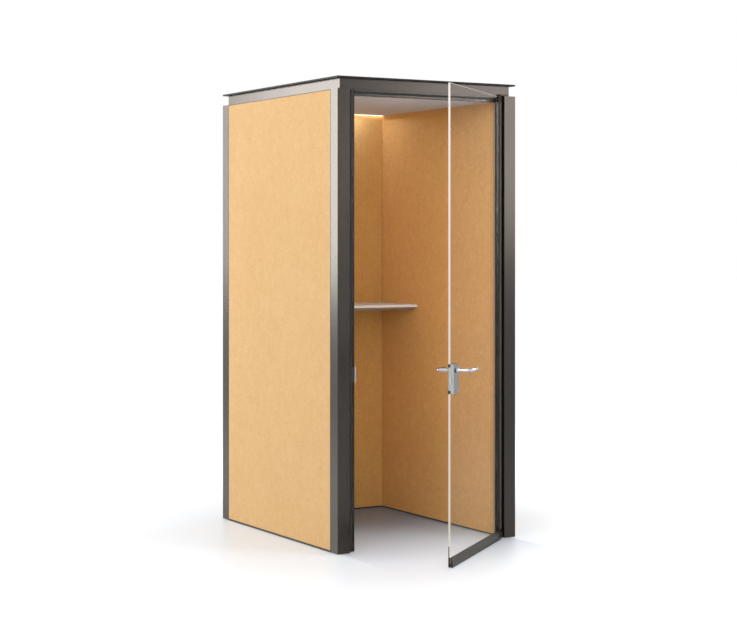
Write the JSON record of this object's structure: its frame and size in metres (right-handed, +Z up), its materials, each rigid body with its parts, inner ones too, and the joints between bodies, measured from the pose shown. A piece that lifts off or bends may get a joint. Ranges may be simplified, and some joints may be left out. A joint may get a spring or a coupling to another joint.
{
  "type": "acoustic office pod",
  "caption": "Free-standing acoustic pod: felt walls in a dark metal frame, glass pivot door with a lever lock, fixed shelf, ceiling light strip and fan.",
  "frame": {"origin": "on the floor, in the middle of the pod's footprint without its open door", "axes": "+X to the right along the front, +Y from the front to the back, +Z up"},
  "size_m": [1, 1.8253, 2.23],
  "materials": {
    "bronze_frame": "anodised, satin dark bronze",
    "dark_frame": "anodised, satin near-black bronze",
    "pivot_metal": "powder coat, satin near-black bronze",
    "outer_felt": "matt pressed felt, warm honey",
    "inner_felt": "matt pressed felt, warm honey",
    "wall_core": "matt mineral fibre board",
    "ceiling_board": "painted, matt pale grey",
    "shelf_board": "laminated, satin white",
    "light_opal": "opal diffuser, lit warm white",
    "lock_steel": "satin brushed stainless",
    "plain_steel": "zinc plated",
    "supply_case": "plain folded sheet case",
    "black_rubber": "matt black",
    "black_plastic": "matt black",
    "door_glass": "clear toughened glass, polished edges"
  },
  "bodies": {
    "pod_shell": {"ceiling_panel": "ceiling_board", "door_head": "bronze_frame", "fan_frame": "black_plastic", "foot_pivot_bracket": "plain_steel", "jamb_left": "bronze_frame", "jamb_right": "bronze_frame", "left_inner_felt": "inner_felt", "left_outer_felt": "outer_felt", "left_wall_core": "wall_core", "left_wall_frame": "dark_frame", "light_channel": "bronze_frame", "light_diffuser": "light_opal", "post_front_left": "bronze_frame", "post_front_right": "bronze_frame", "post_rear_left": "bronze_frame", "post_rear_right": "bronze_frame", "power_inlet": "black_plastic", "power_supply": "supply_case", "rear_inner_felt": "inner_felt", "rear_outer_felt": "outer_felt", "rear_wall_core": "wall_core", "rear_wall_frame": "dark_frame", "right_inner_felt": "inner_felt", "right_outer_felt": "outer_felt", "right_wall_core": "wall_core", "right_wall_frame": "dark_frame", "ring_beam_front": "bronze_frame", "ring_beam_left": "bronze_frame", "ring_beam_rear": "bronze_frame", "ring_beam_right": "bronze_frame", "roof_plate": "dark_frame", "seal_head": "black_rubber", "seal_left": "black_rubber", "seal_right": "black_rubber", "shelf": "shelf_board", "shelf_bracket_left": "plain_steel", "shelf_bracket_right": "plain_steel", "strike_plate": "lock_steel", "top_pivot_bracket": "pivot_metal"},
    "door": {"door_glass": "door_glass", "door_bottom_rail": "bronze_frame", "rail_end_cap": "dark_frame", "floor_sweep": "black_rubber", "top_pivot_patch": "pivot_metal", "lock_case": "lock_steel", "lock_inner_plate": "lock_steel", "lock_gasket": "black_rubber"},
    "lever_set": {"lever_spindle": "plain_steel", "inner_lever": "lock_steel", "outer_lever": "lock_steel"},
    "latch": {"latch_bolt": "lock_steel"},
    "key": {"key_plug": "plain_steel"},
    "fan": {"fan_impeller": "black_plastic"},
    "glide_front_left": {"glide_front_left": "plain_steel"},
    "glide_front_right": {"glide_front_right": "plain_steel"},
    "glide_rear_left": {"glide_rear_left": "plain_steel"},
    "glide_rear_right": {"glide_rear_right": "plain_steel"}
  },
  "joints": [
    {"name": "door_swing", "type": "hinge", "parent": "pod_shell", "child": "door", "pos_m": [0.419, -0.613, 0], "axis": [0, 0, 1], "range_deg": [-40.3, 51.7]},
    {"name": "lever_turn", "type": "hinge", "parent": "door", "child": "lever_set", "pos_m": [-0.19571, -1.13431, 0.88], "axis": [-0.6468, 0.7627, 0], "range_deg": [0, 40], "stiffness_Nm_per_rad": 2, "springref_deg": -22.92},
    {"name": "latch_draw", "type": "slide", "parent": "door", "child": "latch", "axis": [0.7627, 0.6468, 0], "range_m": [0, 0.01]},
    {"name": "key_turn", "type": "hinge", "parent": "door", "child": "key", "pos_m": [-0.18906, -1.14834, 0.852], "axis": [-0.6468, 0.7627, 0], "range_deg": [0, 90]},
    {"name": "fan_spin", "type": "hinge", "parent": "pod_shell", "child": "fan", "pos_m": [-0.2467, -0.105, 2.172], "axis": [0, 0, 1], "continuous": true},
    {"name": "glide_front_left_level", "type": "slide", "parent": "pod_shell", "child": "glide_front_left", "axis": [0, 0, -1], "range_m": [0, 0.015]},
    {"name": "glide_front_right_level", "type": "slide", "parent": "pod_shell", "child": "glide_front_right", "axis": [0, 0, -1], "range_m": [0, 0.015]},
    {"name": "glide_rear_left_level", "type": "slide", "parent": "pod_shell", "child": "glide_rear_left", "axis": [0, 0, -1], "range_m": [0, 0.015]},
    {"name": "glide_rear_right_level", "type": "slide", "parent": "pod_shell", "child": "glide_rear_right", "axis": [0, 0, -1], "range_m": [0, 0.015]}
  ],
  "couplings": [
    {"joint": "latch_draw", "follows": "lever_turn", "m_per_rad": 0.01432}
  ]
}
